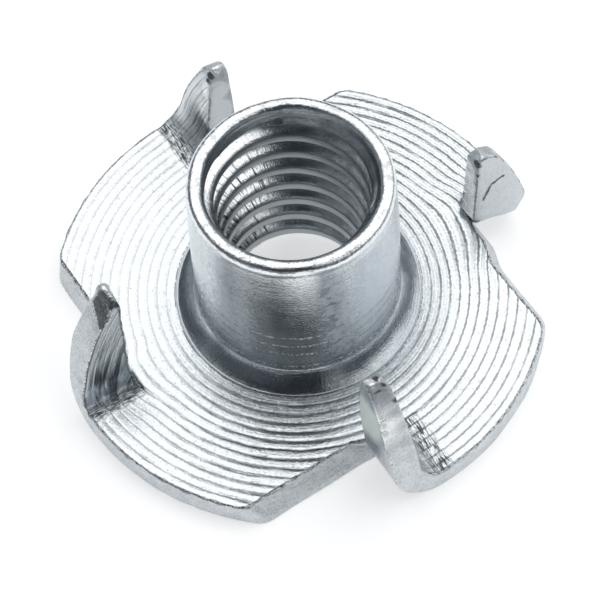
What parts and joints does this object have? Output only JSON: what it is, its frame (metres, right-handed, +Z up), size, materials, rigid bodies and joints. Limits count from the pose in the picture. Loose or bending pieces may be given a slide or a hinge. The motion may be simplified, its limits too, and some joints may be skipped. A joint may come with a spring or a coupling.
{
  "type": "tee nut",
  "caption": "Pronged tee nut: a threaded barrel drawn up from a round ringed flange, with flange prongs folded up to bite into wood.",
  "frame": {"origin": "centre of the flange underside, on the bore axis", "axes": "+Z up along the bore, out of the barrel mouth; +X and +Y in the flange underside, with the first prong's bend line 30 degrees from +X"},
  "size_m": [0.0184, 0.0184, 0.0084],
  "materials": {
    "zinc_plate": "bright zinc plating on pressed steel"
  },
  "bodies": {
    "root": {"tee_nut": "zinc_plate"}
  },
  "joints": []
}
